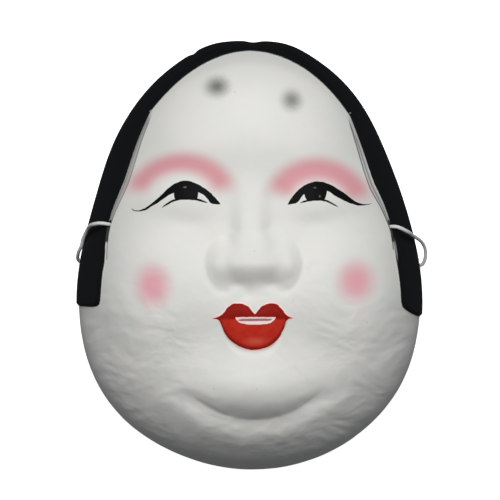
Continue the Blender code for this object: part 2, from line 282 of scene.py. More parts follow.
def chin_line(x, y):
    """Fine shape of the chin: the sharp bottom of its crease."""
    away = np.abs(np.hypot(x - MOUTH_X, y - CREASE_MIDDLE_Y) - 0.0476)
    return -0.0007 * np.exp(-away / 0.0018) * smooth_step(-0.070, -0.079, y)


def coarse_relief(x, y):
    """All the features that the solids have, the lips with their fine outline."""
    return forehead(x, y) + eyes(x, y) + nose(x, y) + cheeks(x, y) + mouth(x, y) + chin(x, y)


def ripples(x, y, width, height, seed):
    """Soft uneven waves about this wide and this high, in metres."""
    spots = zip((x / width).tolist(), (y / height).tolist())
    return np.array([noise.noise(Vector((across, along, seed))) for across, along in spots])


def paper_surface(x, y):
    """The uneven surface of laid paper: strongest on the jaw and cheeks, faint on the forehead and chin."""
    strayed = x + 0.0055 * ripples(x, y, 0.019, 0.019, 9.1)
    bent = y + 0.0085 * ripples(x, y, 0.021, 0.021, 5.3)
    jaw = 0.20 + 0.80 * smooth_step(0.012, -0.045, y)
    still = 1.0 - 0.85 * hill(x - MOUTH_X, y + 0.045, 0.036, 0.034)
    waves = 0.00036 * ripples(strayed, bent, 0.0125, 0.0088, 1.7)
    waves += 0.00022 * ripples(strayed, bent, 0.0066, 0.0043, 2.9)
    folds = 0.5 - np.abs(ripples(strayed, bent, 0.0125, 0.0080, 7.7))
    nicks = 0.5 - np.abs(ripples(strayed, bent, 0.0054, 0.0036, 1.3))
    grain = ripples(x, y, 0.0026, 0.0017, 4.1)
    return (waves + 0.00032 * folds + 0.00018 * nicks + 0.00007 * grain) * jaw * still


def hairline(dx, dy):
    """How far out on the unit disc the hair begins: a round brow line that meets the sides at a corner."""
    angle = np.degrees(np.arctan2(dy, np.abs(dx)))
    right = np.clip(dx / 0.3, -1.0, 1.0)
    brow = 0.922 + 0.0018 * right + 0.040 * smooth_step(50.0, 95.0, angle)
    climb = np.maximum(angle - 33.5, 0.0) / 19.0
    side = 0.868 + (0.051 + 0.005 * right) * climb ** (1.4 - 0.2 * right)
    waist = 0.012 * hill(angle - 24.0, 0.0, 7.0, 1.0)
    below = (0.017 - 0.007 * right) * smooth_step(20.0, 10.0, angle)
    return np.minimum(brow, side + waist - below)


def hair_edge(x, y, dx, dy):
    """Millimetres inside the edge of the hair, negative on the face, with a round corner at each end."""
    inside = (np.hypot(dx, dy) - hairline(dx, dy)) * HALF_WIDTH / MM
    above = (y - HAIR_END_Y + HAIR_END_DROP * smooth_step(0.078, 0.096, x)) / MM
    roundness = 1.7
    near = np.exp(-np.clip(inside, -60, 60) / roundness) + np.exp(-np.clip(above, -60, 60) / roundness)
    return -roundness * np.log(near)


def hair_relief(x, y, edge):
    """Thickness of the hair: two lobes that meet in a parting, and a blunt end beside each cheek."""
    top = smooth_step(0.050, 0.100, y)
    lobes = LOBE_RISE * hill(np.abs(x) - 0.0210, 0.0, 0.0130, 1.0) * top
    parting = PARTING_DEPTH * hill(x - NOSE_X, 0.0, 0.0040, 1.0) * top
    nick = 0.0008 * hill(x + 0.0305, y - 0.1105, 0.0020, 0.0035)
    return (HAIR_THICKNESS + lobes - parting - nick) * smooth_step(-0.1, 1.6, edge)


def rim_arch(y, z):
    """How far the rim and the wall above it rise at the temples."""
    t = np.clip((y - ARCH_Y) / ARCH_HALF_LENGTH, -1.0, 1.0)
    return ARCH_RISE * np.cos(t * math.pi / 2.0) ** 2 * (1.0 - smooth_step(0.0, ARCH_FADE_HEIGHT, z))


def near_rim(dx, dy):
    """0 over the face and 1 at the rim."""
    return smooth_step(0.90, 1.0, np.hypot(dx, dy))


def featured_shell(dx, dy):
    """The dome with its features, which die away towards the rim, but without the hair."""
    x, y, z = bare_shell(dx, dy)
    return x, y, z + coarse_relief(x, y) * (1.0 - near_rim(dx, dy))


def outer_point(dx, dy):
    """One point of the outer face, without the hair's thickness."""
    x, y, z = featured_shell(np.float64(dx), np.float64(dy))
    return Vector((float(x), float(y), float(z + rim_arch(y, z))))


def hole_frame(place):
    """The middle of a cord hole on the outer face, and the direction straight out of it."""
    dx, dy = disc_place(*place)
    step = 0.01
    across = outer_point(dx + step, dy) - outer_point(dx - step, dy)
    along = outer_point(dx, dy + step) - outer_point(dx, dy - step)
    return outer_point(dx, dy), across.cross(along).normalized()


def set_places(bm, places):
    """Move every vertex to its new place."""
    for vertex, place in zip(bm.verts, places.tolist()):
        vertex.co = place
    bm.normal_update()


def add_object(name, bm, *materials):
    """Put a finished bmesh in the scene."""
    mesh = bpy.data.meshes.new(name)
    bm.to_mesh(mesh)
    bm.free()
    mesh.shade_smooth()
    for material in materials:
        mesh.materials.append(material)
    obj = bpy.data.objects.new(name, mesh)
    bpy.context.scene.collection.objects.link(obj)
    return obj


def linear(hex_colour):
    """A colour written as sRGB hex, as the linear value that a shader wants."""
    parts = [int(hex_colour[i:i + 2], 16) / 255.0 for i in (0, 2, 4)]
    return tuple(c / 12.92 if c <= 0.04045 else ((c + 0.055) / 1.055) ** 2.4 for c in parts) + (1.0,)


def add(tree, kind, inputs, **settings):
    """Add one shader node with its settings, and feed each input a value or the output of another node."""
    node = tree.nodes.new("ShaderNode" + kind)
    for name, value in settings.items():
        setattr(node, name, value)
    for key, value in inputs.items():
        socket = node.inputs[key]
        if not isinstance(key, int):
            socket = next(s for s in node.inputs if s.enabled and s.name == key)
        if isinstance(value, bpy.types.Node):
            value = next(s for s in value.outputs if s.enabled)
        if isinstance(value, bpy.types.NodeSocket):
            tree.links.new(value, socket)
        else:
            socket.default_value = value
    return node


def new_material(name, **shader_values):
    """A material with its own tree and Principled shader, whose plain values are set here."""
    material = bpy.data.materials.new(name)
    material.use_nodes = True
    shader = material.node_tree.nodes["Principled BSDF"]
    for socket, value in shader_values.items():
        shader.inputs[socket.replace("_", " ")].default_value = value
    return material, material.node_tree, shader


def on_colour(tree, colour, paint, amount):
    """Lay a paint over a colour, as thick as amount says."""
    return add(tree, "Mix", {"Factor": amount, "A": colour, "B": paint}, data_type="RGBA")


def fade(tree, value, start, end):
    """0 where the value is at start and 1 where it is at end, with soft ends."""
    return add(tree, "MapRange", {"Value": value, "From Min": start, "From Max": end},
               interpolation_type="SMOOTHSTEP")


def drawn_line(tree, along, points):
    """Height in millimetres of a smooth brushed line through a few points, at each place along it."""
    first, last = points[0][0], points[-1][0]
    low, high = min(y for _, y in points), max(y for _, y in points)
    spread = add(tree, "MapRange", {"Value": along, "From Min": first, "From Max": last})
    curve = add(tree, "FloatCurve", {"Value": spread})
    line = curve.mapping.curves[0]
    for _ in range(len(points) - 2):
        line.points.new(0.5, 0.5)
    for spot, (x, y) in zip(line.points, points):
        spot.location = ((x - first) / (last - first), (y - low) / (high - low))
    curve.mapping.update()
    return add(tree, "MapRange", {"Value": curve, "To Min": low, "To Max": high})


def inked(tree, place, top, low, soft):
    """The area between two brushed lines that share their ends, with edges this soft in millimetres."""
    x, y = place
    under = add(tree, "Math", {0: drawn_line(tree, x, top), 1: y}, operation="SUBTRACT")
    over = add(tree, "Math", {0: y, 1: drawn_line(tree, x, low)}, operation="SUBTRACT")
    depth = add(tree, "Math", {0: under, 1: over}, operation="MINIMUM")
    middle, half = (top[0][0] + top[-1][0]) / 2.0, (top[-1][0] - top[0][0]) / 2.0
    within = add(tree, "Math", {0: x, 1: middle, 2: half}, operation="COMPARE")
    body = fade(tree, depth, -soft / 2.0, soft / 2.0)
    return add(tree, "Math", {0: body, 1: within}, operation="MULTIPLY")


def brush_stroke(tree, place, points, width, soft):
    """One thin stroke along a line, which thins out towards both of its ends."""
    x, y = place
    first, last = points[0][0], points[-1][0]
    away = add(tree, "Math", {0: y, 1: drawn_line(tree, x, points)}, operation="SUBTRACT")
    away = add(tree, "Math", {0: away}, operation="ABSOLUTE")
    along = add(tree, "MapRange", {"Value": x, "From Min": first, "From Max": last,
                                   "To Min": -1.0, "To Max": 1.0})
    from_middle = add(tree, "Math", {0: along}, operation="ABSOLUTE")
    ends = add(tree, "Math", {0: from_middle, 1: 8.0}, operation="POWER")
    thick = add(tree, "MapRange", {"Value": ends, "To Min": width / 2.0, "To Max": -soft})
    depth = add(tree, "Math", {0: thick, 1: away}, operation="SUBTRACT")
    return fade(tree, depth, -soft / 2.0, soft / 2.0)


def oval_place(tree, flat, middle, half, tilt=0.0):
    """Places seen from an oval's middle, along its own axes and in its own half sizes."""
    return add(tree, "Mapping", {"Vector": flat, "Location": (*middle, 0.0), "Rotation": (0.0, 0.0, tilt),
                                 "Scale": (*half, 1.0)}, vector_type="TEXTURE")


def oval(tree, flat, middle, half, tilt=0.0):
    """Distance from an oval's middle, 1 on its outline."""
    return add(tree, "VectorMath", {0: oval_place(tree, flat, middle, half, tilt)}, operation="LENGTH")


def strongest(tree, *masks):
    """The thickest of several coats at each place."""
    top = masks[0]
    for mask in masks[1:]:
        top = add(tree, "Math", {0: top, 1: mask}, operation="MAXIMUM")
    return top


def eye_ink(tree, place, flat, eye):
    """The black of one eye: the lid stroke with its tail, the round iris and the fine lower lid."""
    x, y = place
    lid = inked(tree, place, eye["lid_top"], eye["lid_low"], INK_SOFT)
    lower = brush_stroke(tree, place, eye["lower_lid"], eye["lower_width"], INK_SOFT)
    reach = oval(tree, flat, eye["iris"], eye["iris_half"])
    iris = fade(tree, reach, 1.02, 0.98)
    over = add(tree, "Math", {0: y, 1: drawn_line(tree, x, eye["lower_lid"])}, operation="SUBTRACT")
    under = add(tree, "Math", {0: drawn_line(tree, x, eye["lid_top"]), 1: y}, operation="SUBTRACT")
    iris = add(tree, "Math", {0: iris, 1: fade(tree, over, -0.2, 0.2)}, operation="MULTIPLY")
    iris = add(tree, "Math", {0: iris, 1: fade(tree, under, -0.2, 0.2)}, operation="MULTIPLY")
    return strongest(tree, lid, lower, iris)


# The eyes as they are brushed, in millimetres, with painted glints that stand in for the lamp's reflection on
# the black. Each list runs from left to right.
INK_SOFT = 0.35
LEFT_EYE = {
    "lid_top": [(-63.4, 25.1), (-60.2, 24.0), (-56.5, 25.0), (-51.9, 28.0), (-47.4, 31.7), (-42.6, 36.2),
                (-38.6, 38.6), (-34.0, 39.6), (-29.0, 38.3), (-23.6, 35.3), (-18.9, 31.3), (-15.5, 27.3)],
    "lid_low": [(-63.4, 25.0), (-60.2, 23.4), (-56.5, 23.8), (-52.9, 25.7), (-49.4, 27.6), (-45.3, 30.3),
                (-40.5, 33.0), (-33.5, 34.6), (-26.8, 33.2), (-22.0, 29.5), (-19.7, 27.2), (-15.5, 27.0)],
    "lower_lid": [(-47.6, 24.6), (-42.5, 27.9), (-39.1, 29.4), (-35.7, 30.0), (-30.5, 29.9), (-27.2, 29.3),
                  (-21.4, 27.3)],
    "lower_width": 1.25,
    "iris": (-33.7, 34.5),
    "iris_half": (6.6, 10.9),
    "painted_glints": [((-34.3, 36.1), (1.5, 0.8))],
}
RIGHT_EYE = {
    "lid_top": [(20.2, 27.0), (24.2, 32.7), (29.0, 36.9), (33.0, 38.7), (36.9, 39.2), (41.3, 38.3),
                (47.0, 35.4), (52.0, 32.2), (55.2, 29.8), (58.6, 28.0), (62.0, 27.4), (66.0, 27.9)],
    "lid_low": [(20.2, 26.8), (23.9, 27.3), (28.9, 32.1), (34.8, 34.6), (41.3, 34.1), (45.3, 31.8),
                (50.2, 29.3), (55.2, 27.3), (58.6, 26.6), (62.0, 26.8), (66.0, 27.8)],
    "lower_lid": [(25.9, 27.2), (30.7, 28.8), (35.6, 29.4), (39.7, 29.1), (43.7, 27.6), (48.2, 25.0)],
    "lower_width": 1.05,
    "iris": (35.1, 35.5),
    "iris_half": (6.3, 9.5),
    "painted_glints": [((34.8, 35.8), (1.2, 0.6)), ((37.4, 31.3), (0.7, 1.0))],
}

# Sprayed colour, in millimetres: an arc over each eye, a spot on each cheek, two high brows.
# An arc's last values are how far its full and its faintest colour reach from the middle of the band, and
# the turn, in radians, from its oval's top to the middle of its length.
BROW_ARCS = [
    ((-37.6, 28.3), (25.3, 21.0), 0.14, 0.7, 9.8, 0.16),
    ((37.2, 25.2), (23.3, 20.6), -0.14, 1.4, 10.7, -0.10),
]
CHEEK_SPOTS = [((-51.3, -16.2), (14.0, 17.0)), ((56.6, -13.8), (14.8, 16.0))]
HIGH_BROWS = [((-17.4, 90.3), (10.2, 9.0), 0.92), ((22.6, 82.9), (8.6, 9.0), 0.80)]

# Places where the black missed the white below it, in millimetres: place, half size and tilt.
HAIR_GAPS = [((-53.8, 78.2), (0.9, 0.9), 0.0), ((79.6, 2.4), (0.55, 7.0), 0.12),
             ((54.9, 77.4), (0.7, 0.5), 0.6)]

# Small flaws in the paint, in millimetres: place and half size.
SPECKS = [((3.8, -70.8), 0.45), ((-18.8, -70.6), 0.50), ((63.0, -36.0), 0.55), ((-7.7, 87.0), 0.60),
          ((2.6, 2.1), 0.50), ((23.4, -24.0), 0.45)]


def sprayed_arc(tree, flat, middle, half, tilt, full, faint, turn):
    """A soft band of colour along the top of an oval, which dies away at both ends."""
    size = (half[0] + half[1]) / 2.0
    past = add(tree, "Math", {0: oval(tree, flat, middle, half, tilt), 1: 1.0}, operation="SUBTRACT")
    away = add(tree, "Math", {0: past}, operation="ABSOLUTE")
    band = fade(tree, away, faint / size, full / size)
    sides = add(tree, "SeparateXYZ", {0: oval_place(tree, flat, middle, half, tilt)})
    angle = add(tree, "Math", {0: sides.outputs["X"], 1: sides.outputs["Y"]}, operation="ARCTAN2")
    turned = add(tree, "Math", {0: angle, 1: turn}, operation="SUBTRACT")
    along = add(tree, "Math", {0: turned}, operation="ABSOLUTE")
    return add(tree, "Math", {0: band, 1: fade(tree, along, 1.50, 0.98)}, operation="MULTIPLY")


def white_coat(tree, flat):
    """Shell white: broad cool and warm clouds, as a wide brush leaves it."""
    clouds = add(tree, "TexNoise", {"Vector": flat, "Scale": 0.045, "Detail": 4.0, "Roughness": 0.6})
    tone = on_colour(tree, linear("E2E3DE"), linear("E6E4DF"), fade(tree, clouds, 0.35, 0.65))
    return on_colour(tree, tone, linear("DADBD7"), fade(tree, clouds, 0.62, 0.85))


def painted_paper():
    """Gofun, the shell white of such masks, brushed over paper: satin, with poster black and lacquer red.

    The eye reads a chalky white skin that takes a low sheen, flat black hair and glossier ink and lips.
    """
    material, tree, shader = new_material("gofun_painted_paper", IOR=1.5, Specular_IOR_Level=0.09)
    spot = add(tree, "TexCoord", {}).outputs["Object"]
    metres = add(tree, "SeparateXYZ", {0: spot})
    front = add(tree, "CombineXYZ", {"X": metres.outputs["X"], "Y": metres.outputs["Y"]})
    flat = add(tree, "VectorMath", {0: front, "Scale": 1.0 / MM}, operation="SCALE")
    wobble = add(tree, "TexNoise", {"Vector": flat, "Scale": 0.5, "Detail": 2.0})
    shift = add(tree, "VectorMath", {0: wobble.outputs["Color"], 1: (0.5, 0.5, 0.5)}, operation="SUBTRACT")
    hand = add(tree, "VectorMath", {0: shift, 1: (0.5, 0.5, 0.0), 2: flat}, operation="MULTIPLY_ADD")
    axes = add(tree, "SeparateXYZ", {0: hand})
    place = (axes.outputs["X"], axes.outputs["Y"])
    speckle = add(tree, "TexNoise", {"Vector": flat, "Scale": 1.6, "Detail": 3.0, "Roughness": 0.8})

    colour = white_coat(tree, flat)
    colour = sprayed_colours(tree, flat, speckle, colour)
    colour = side_strands(tree, place, colour)
    colour, lip_cover = painted_lips(tree, place, flat, colour)
    edge = add(tree, "Attribute", {}, attribute_name="hair_edge").outputs["Fac"]
    ragged = add(tree, "Math", {0: speckle, 1: 0.5, 2: edge}, operation="MULTIPLY_ADD")
    hair = fade(tree, ragged, 0.05, 0.45)
    colour = on_colour(tree, colour, linear("0D0F11"), hair)
    for gap in HAIR_GAPS:
        reach = oval(tree, flat, *gap)
        bare = add(tree, "Math", {0: fade(tree, reach, 1.1, 0.3), 1: 0.55}, operation="MULTIPLY")
        colour = on_colour(tree, colour, linear("B4B5B2"), bare)
    ink = strongest(tree, eye_ink(tree, place, hand, LEFT_EYE), eye_ink(tree, place, hand, RIGHT_EYE))
    colour = on_colour(tree, colour, linear("0A0B0C"), ink)
    # Painted reflection: small pale marks on each eye's black stand in for the lamp's glint.
    for eye in (LEFT_EYE, RIGHT_EYE):
        for middle, half in eye["painted_glints"]:
            reach = oval(tree, flat, middle, half)
            amount = add(tree, "Math", {0: fade(tree, reach, 1.0, 0.0), 1: 0.35}, operation="MULTIPLY")
            colour = on_colour(tree, colour, linear("A9B4B0"), amount)
    tree.links.new(colour.outputs[2], shader.inputs["Base Color"])

    dull = add(tree, "MapRange", {"Value": speckle, "To Min": 0.48, "To Max": 0.66})
    rough = add(tree, "Mix", {"Factor": hair, "A": dull, "B": 0.60})
    rough = add(tree, "Mix", {"Factor": lip_cover, "A": rough, "B": 0.58})
    rough = add(tree, "Mix", {"Factor": ink, "A": rough, "B": 0.62})
    tree.links.new(rough.outputs[0], shader.inputs["Roughness"])

    strokes = add(tree, "Mapping", {"Vector": flat, "Scale": (0.9, 2.6, 1.0)})
    brushed = add(tree, "TexNoise", {"Vector": strokes, "Scale": 0.8, "Detail": 4.0, "Roughness": 0.6})
    bump = add(tree, "Bump", {"Height": brushed, "Strength": 0.25, "Distance": 0.15 * MM})
    tree.links.new(bump.outputs[0], shader.inputs["Normal"])
    return material


def sprayed_colours(tree, flat, speckle, colour):
    """Airbrushed pink over the eyes and on the cheeks, and the grey of the high brows."""
    for arc in BROW_ARCS:
        colour = on_colour(tree, colour, linear("E0A2A8"), sprayed_arc(tree, flat, *arc))
    for middle, reach in CHEEK_SPOTS:
        away = oval(tree, flat, middle, reach)
        colour = on_colour(tree, colour, linear("EBADB5"), fade(tree, away, 1.0, 0.10))
    for middle, half, thickest in HIGH_BROWS:
        reach = oval(tree, flat, middle, half)
        broken = add(tree, "Math", {0: speckle, 1: 0.9, 2: reach}, operation="MULTIPLY_ADD")
        thick = add(tree, "Math", {0: fade(tree, broken, 1.45, 0.45), 1: thickest}, operation="MULTIPLY")
        colour = on_colour(tree, colour, linear("6F706D"), thick)
    for middle, half in SPECKS:
        reach = oval(tree, flat, middle, (half, half))
        faint = add(tree, "Math", {0: fade(tree, reach, 1.0, 0.2), 1: 0.45}, operation="MULTIPLY")
        colour = on_colour(tree, colour, linear("8B8781"), faint)
    return colour


# Fine hairs brushed beside each hairline: side, distance from the hair in millimetres at the ends and in
# the middle, width, highest and lowest point, and how dark.
SIDE_STRANDS = [
    (-1, 0.50, 0.60, 1.90, 80.0, 11.0, 0.38), (-1, 0.40, 0.10, 0.80, 80.0, 11.0, 0.35),
    (-1, 1.10, 1.20, 0.50, 80.0, 10.0, 0.66), (-1, 1.00, 0.00, 0.60, 13.0, -4.0, 0.60),
    (-1, 0.60, 0.00, 1.60, 20.0, 6.0, 0.95),
    (1, 0.50, 0.80, 2.00, 78.0, 9.0, 0.30), (1, 1.00, 1.90, 0.60, 78.0, 10.0, 0.85),
    (1, 0.60, 0.80, 0.50, 70.0, 11.0, 0.60), (1, 0.70, 0.00, 0.80, 12.0, 2.0, 0.80),
    (1, 0.40, 0.00, 1.20, 20.0, 6.0, 0.95),
]


def side_strands(tree, place, colour):
    """A thin grey veil and single hairs that run down beside the black hair."""
    x, y = place
    edge = add(tree, "Attribute", {}, attribute_name="hair_edge").outputs["Fac"]
    from_below = fade(tree, y, 11.0, 36.0)
    from_above = fade(tree, y, 84.0, 42.0)
    middle = add(tree, "Math", {0: from_below, 1: from_above}, operation="MINIMUM")
    for side, near, bow, width, top, bottom, dark in SIDE_STRANDS:
        apart = add(tree, "Math", {0: middle, 1: bow, 2: near}, operation="MULTIPLY_ADD")
        beside = add(tree, "Math", {0: edge, 1: apart}, operation="ADD")
        away = add(tree, "Math", {0: beside}, operation="ABSOLUTE")
        half = (top - bottom) / 2.0
        higher = add(tree, "Math", {0: y, 1: (top + bottom) / 2.0}, operation="SUBTRACT")
        along = add(tree, "Math", {0: higher}, operation="ABSOLUTE")
        thick = add(tree, "MapRange", {"Value": along, "From Min": half * 0.75, "From Max": half,
                                       "To Min": width / 2.0, "To Max": -0.3})
        depth = add(tree, "Math", {0: thick, 1: away}, operation="SUBTRACT")
        coat = add(tree, "Math", {0: fade(tree, depth, -0.25, 0.25), 1: dark}, operation="MULTIPLY")
        this_side = add(tree, "Math", {0: x, 1: side * 60.0, 2: 59.0}, operation="COMPARE")
        coat = add(tree, "Math", {0: coat, 1: this_side}, operation="MULTIPLY")
        colour = on_colour(tree, colour, linear("2A2B2D"), coat)
    return colour


# The teeth in millimetres: their upper and lower edge, and the mauve-grey line across their upper half, a
# painted shadow under the upper lip.
TEETH_TOP = [(-7.4, -33.1), (-6.2, -32.8), (3.2, -32.7), (12.6, -32.7), (13.9, -32.9)]
TEETH_LOW = [(-7.4, -33.2), (-6.3, -34.7), (-4.2, -35.9), (-1.0, -36.5), (3.2, -36.6), (7.4, -36.5),
             (10.6, -35.9), (12.6, -34.7), (13.9, -33.0)]
TEETH_SHADOW_LINE = [(-7.0, -34.3), (3.2, -34.2), (12.9, -34.1)]


def painted_lips(tree, place, flat, colour):
    """Lacquer red, deeper above, with painted shade along the lower lip's lower edge, a painted sheen low on
    the lower lip, a faint pink outline and the teeth with a painted shadow line.
    """
    x, y = place
    cover = inked(tree, place, LIP_TOP, LIP_LOW, 0.3)
    over = add(tree, "Math", {0: y, 1: drawn_line(tree, x, LIP_LOW)}, operation="SUBTRACT")
    clouds = add(tree, "TexNoise", {"Vector": flat, "Scale": 0.22, "Detail": 3.0})
    red = on_colour(tree, linear("BE2B1F"), linear("C93324"), fade(tree, clouds, 0.30, 0.70))
    red = on_colour(tree, red, linear("90150B"), fade(tree, y, MOUTH_LINE_Y - 1.5, MOUTH_LINE_Y + 0.5))
    # Painted shade: the red darkens towards the lower edge of the lower lip, where the lip turns down from
    # the light.
    red = on_colour(tree, red, linear("9A1C12"), fade(tree, over, 3.4, 0.2))
    # Painted highlight: a lighter red patch low on the lower lip stands in for the lamp's sheen.
    painted_sheen = oval(tree, flat, (3.4, -45.6), (9.0, 3.6))
    red = on_colour(tree, red, linear("D2523F"), fade(tree, painted_sheen, 1.0, 0.0))
    near = inked(tree, place, LIP_TOP, LIP_LOW, 4.0)
    colour = on_colour(tree, colour, linear("FFD9D2"), fade(tree, near, 0.08, 0.38))
    colour = on_colour(tree, colour, red, cover)
    teeth = inked(tree, place, TEETH_TOP, TEETH_LOW, 0.4)
    # Painted shadow: a mauve-grey stroke across the teeth's upper half stands in for the shade under the
    # upper lip.
    line = brush_stroke(tree, place, TEETH_SHADOW_LINE, 1.35, 0.6)
    enamel = on_colour(tree, linear("FFE6E1"), linear("A3737C"), line)
    return on_colour(tree, colour, enamel, teeth), cover


def bare_lining():
    """Unpainted washi inside the shell: torn strips laid over each other, matt and a little fibrous."""
    material, tree, shader = new_material(
        "bare_washi_lining", IOR=1.5, Specular_IOR_Level=0.2, Roughness=0.88)
    spot = add(tree, "TexCoord", {}).outputs["Object"]
    torn = add(tree, "TexNoise", {"Vector": spot, "Scale": 300.0, "Detail": 4.0})
    ragged = add(tree, "VectorMath", {0: torn.outputs["Color"], 1: (0.004, 0.004, 0.004), 2: spot},
                 operation="MULTIPLY_ADD")
    laid = add(tree, "Mapping", {"Vector": ragged, "Rotation": (0.0, 0.0, 0.5), "Scale": (22.0, 48.0, 30.0)})
    strips = add(tree, "TexVoronoi", {"Vector": laid, "Scale": 1.0}, distance="CHEBYCHEV")
    tone = add(tree, "SeparateColor", {0: strips.outputs["Color"]}).outputs[0]
    colour = on_colour(tree, linear("CFC6B2"), linear("DED8C8"), tone)
    fibre = add(tree, "TexNoise", {"Vector": spot, "Scale": 1800.0, "Detail": 3.0, "Roughness": 0.7})
    colour = on_colour(tree, colour, linear("B9AE97"), fade(tree, fibre, 0.58, 0.75))
    height = add(tree, "SeparateXYZ", {0: spot}).outputs["Z"]
    spilt = add(tree, "Math", {0: torn, 1: -0.006, 2: height}, operation="MULTIPLY_ADD")
    colour = on_colour(tree, colour, linear("E2E3DD"), fade(tree, spilt, 0.0032, 0.0018))
    tree.links.new(colour.outputs[2], shader.inputs["Base Color"])
    edges = add(tree, "Math", {0: strips.outputs["Distance"], 1: 0.6, 2: fibre}, operation="MULTIPLY_ADD")
    bump = add(tree, "Bump", {"Height": edges, "Strength": 0.5, "Distance": 0.3 * MM})
    tree.links.new(bump.outputs[0], shader.inputs["Normal"])
    return material


def braided_elastic():
    """Braided polyester over rubber: white, soft and slightly fluffy, with a fine diamond pattern."""
    material, tree, shader = new_material(
        "braided_white_elastic", IOR=1.5, Roughness=0.75, Sheen_Weight=0.3, Specular_IOR_Level=0.3)
    spot = add(tree, "TexCoord", {}).outputs["UV"]
    yarn = add(tree, "TexNoise", {"Vector": spot, "Scale": 60.0, "Detail": 3.0})
    colour = on_colour(tree, linear("CBCCC9"), linear("DEDEDB"), fade(tree, yarn, 0.3, 0.7))
    tree.links.new(colour.outputs[2], shader.inputs["Base Color"])
    bump = add(tree, "Bump", {"Height": yarn, "Strength": 0.3, "Distance": 0.05 * MM})
    tree.links.new(bump.outputs[0], shader.inputs["Normal"])
    return material


def formed_sheet(grid, outside):
    """One face of the shell, finer in the middle of the face, with its free edge rounded over."""
    bm = bmesh.new()
    bmesh.ops.create_grid(bm, x_segments=grid[0], y_segments=grid[1], size=1.0)
    if outside:
        busy = [edge for edge in bm.edges
                if all(abs(v.co.x) < 0.50 and -0.30 < v.co.y < 0.50 for v in edge.verts)]
        bmesh.ops.subdivide_edges(bm, edges=busy, cuts=1, use_grid_fill=True)
    grid_places = np.array([vertex.co[:] for vertex in bm.verts])
    dx, dy = disc_point(grid_places[:, 0], grid_places[:, 1])
    x, y, z = featured_shell(dx, dy)
    if outside:
        z = z + (nostrils(x, y) + lip_shadow(x, y) + chin_line(x, y)) * (1.0 - near_rim(dx, dy))
    set_places(bm, np.stack([x, y, z], axis=1))
    normals = np.array([vertex.normal[:] for vertex in bm.verts])
    on_rim = np.array([vertex.is_boundary for vertex in bm.verts])
    normals[on_rim, 2] = 0.0
    normals /= np.linalg.norm(normals, axis=1)[:, None]
    edge = hair_edge(x, y, dx, dy)
    calm = (1.0 - 0.6 * smooth_step(-1.0, 2.0, edge)) * (1.0 - 0.85 * near_rim(dx, dy))
    lumps = paper_surface(x, y) * calm
    push = lumps + hair_relief(x, y, edge) if outside else lumps - WALL
    places = np.stack([x, y, z], axis=1) + normals * push[:, None]
    places[on_rim, 2] = RIM_ROUNDING
    places[:, 2] += rim_arch(places[:, 1], places[:, 2])
    set_places(bm, places)
    layer = bm.verts.layers.float.new("hair_edge")
    for vertex, depth in zip(bm.verts, edge.tolist()):
        vertex[layer] = depth
    round_over(bm, outside)
    return bm


def round_over(bm, outside):
    """Turn the free edge of a sheet down to the table and a little towards the middle of the wall."""
    free = [edge for edge in bm.edges if edge.is_boundary]
    turned = bmesh.ops.extrude_edge_only(bm, edges=free)["geom"]
    for vertex in turned:
        if isinstance(vertex, bmesh.types.BMVert):
            inwards = Vector((vertex.co.x, vertex.co.y - WIDEST_Y, 0.0)).normalized()
            vertex.co += inwards * (-RIM_ROUNDING if outside else RIM_ROUNDING)
            vertex.co.z -= RIM_ROUNDING


def cut_cord_holes(mask):
    """Punch the two round holes, then give the new edges the hair value of the nearest old place."""
    old = KDTree(len(mask.data.vertices))
    for vertex in mask.data.vertices:
        old.insert(vertex.co, vertex.index)
    old.balance()
    values = [entry.value for entry in mask.data.attributes["hair_edge"].data]
    cutters = []
    for place in (HOLE_LEFT, HOLE_RIGHT):
        middle, outward = hole_frame(place)
        bm = bmesh.new()
        turn = outward.to_track_quat("Z", "Y").to_matrix().to_4x4()
        bmesh.ops.create_cone(bm, cap_ends=True, segments=32, radius1=HOLE_DIAMETER / 2.0,
                              radius2=HOLE_DIAMETER / 2.0, depth=5.0 * WALL,
                              matrix=Matrix.Translation(middle) @ turn)
        cutters.append(add_object("hole cutter", bm, mask.data.materials[0]))
        cut = mask.modifiers.new("cord hole", "BOOLEAN")
        cut.operation = "DIFFERENCE"
        cut.object = cutters[-1]
    mesh = bpy.data.meshes.new_from_object(mask.evaluated_get(bpy.context.evaluated_depsgraph_get()))
    mask.modifiers.clear()
    mask.data = mesh
    for cutter in cutters:
        bpy.data.objects.remove(cutter)
    layer = mesh.attributes["hair_edge"].data
    for vertex, entry in zip(mesh.vertices, layer):
        entry.value = values[old.find(vertex.co)[1]]


def build_mask(paint, lining):
    """The whole shell: painted outside, bare lining inside, joined along the rim and pierced for the cord."""
    bm = formed_sheet(OUTER_GRID, True)
    inner = formed_sheet(INNER_GRID, False)
    bmesh.ops.reverse_faces(inner, faces=inner.faces)
    for face in inner.faces:
        face.material_index = 1
    inner_mesh = bpy.data.meshes.new("inner face")
    inner.to_mesh(inner_mesh)
    inner.free()
    bm.from_mesh(inner_mesh)
    bpy.data.meshes.remove(inner_mesh)
    bmesh.ops.bridge_loops(bm, edges=[edge for edge in bm.edges if edge.is_boundary])
    bmesh.ops.recalc_face_normals(bm, faces=bm.faces)
    mask = add_object("painted_mask", bm, paint, lining)
    cut_cord_holes(mask)
    return mask


def between(p0, p1, p2, p3, t):
    """A point of the smooth curve from p1 to p2, t from 0 to 1."""
    bend = 2.0 * p1 + (p2 - p0) * t
    bend += (2.0 * p0 - 5.0 * p1 + 4.0 * p2 - p3) * t * t
    return (bend + (3.0 * p1 - p0 - 3.0 * p2 + p3) * t ** 3) / 2.0


